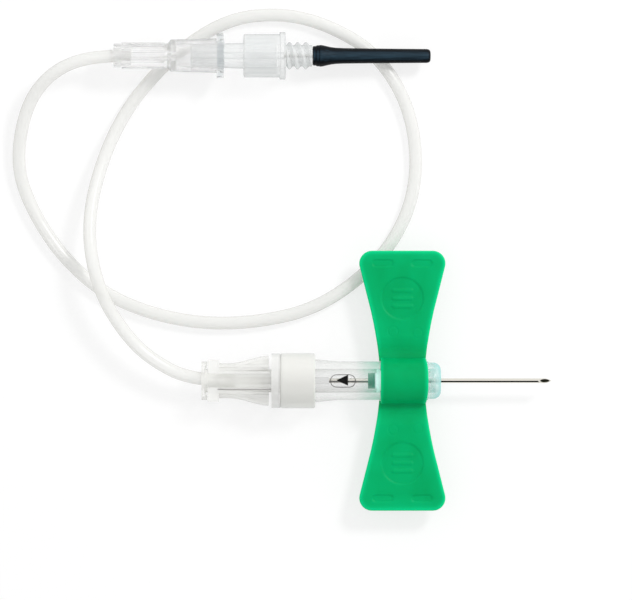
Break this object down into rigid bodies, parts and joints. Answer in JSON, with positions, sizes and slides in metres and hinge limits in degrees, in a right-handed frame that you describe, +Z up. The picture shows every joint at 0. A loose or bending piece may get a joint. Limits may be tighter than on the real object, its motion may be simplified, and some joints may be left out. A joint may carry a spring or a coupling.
{
  "type": "butterfly needle",
  "caption": "Safety butterfly needle set lying flat: green folding wings, clear sliding guard barrel, ribbed pull grip, clear tubing and a luer connector with a rubber covered rear needle.",
  "frame": {"origin": "middle of the barrel, grip and needle taken end to end, on the table under the needle line", "axes": "+X points the way the needle points, +Y is towards the connector, +Z is up from the table"},
  "size_m": [0.0931, 0.0867, 0.0095],
  "materials": {
    "needle_steel": "drawn and polished stainless steel tube",
    "teal_hub": "glossy translucent teal moulding",
    "frosted_plastic": "natural polypropylene, milky and satin",
    "clear_plastic": "clear polished moulding",
    "green_wing": "soft green vinyl with a satin sheen",
    "clear_tube": "flexible clear vinyl tube, slightly milky",
    "black_rubber": "smooth black rubber with a soft highlight"
  },
  "bodies": {
    "needle": {"cannula": "needle_steel", "needle_hub": "teal_hub", "pull_grip": "frosted_plastic", "tubing": "clear_tube", "luer_hub": "clear_plastic"},
    "guard": {"guard_barrel": "clear_plastic", "barrel_collar": "frosted_plastic", "wing_sleeve": "green_wing"},
    "wing_left": {"wing_left": "green_wing"},
    "wing_right": {"wing_right": "green_wing"},
    "connector": {"luer_adapter": "frosted_plastic", "rear_cannula": "needle_steel", "rubber_sleeve": "black_rubber"}
  },
  "joints": [
    {"name": "guard_slide", "type": "slide", "parent": "needle", "child": "guard", "axis": [1, 0, 0], "range_m": [0, 0.022]},
    {"name": "wing_left_fold", "type": "hinge", "parent": "guard", "child": "wing_left", "pos_m": [0.0048, 0.0045, 0.00475], "axis": [1, 0, 0], "range_deg": [0, 100], "stiffness_Nm_per_rad": 0.005},
    {"name": "wing_right_fold", "type": "hinge", "parent": "guard", "child": "wing_right", "pos_m": [0.0048, -0.0045, 0.00475], "axis": [-1, 0, 0], "range_deg": [0, 100], "stiffness_Nm_per_rad": 0.005},
    {"name": "luer_pull", "type": "slide", "parent": "needle", "child": "connector", "axis": [0.9991, 0, -0.0426], "range_m": [0, 0.007]}
  ]
}
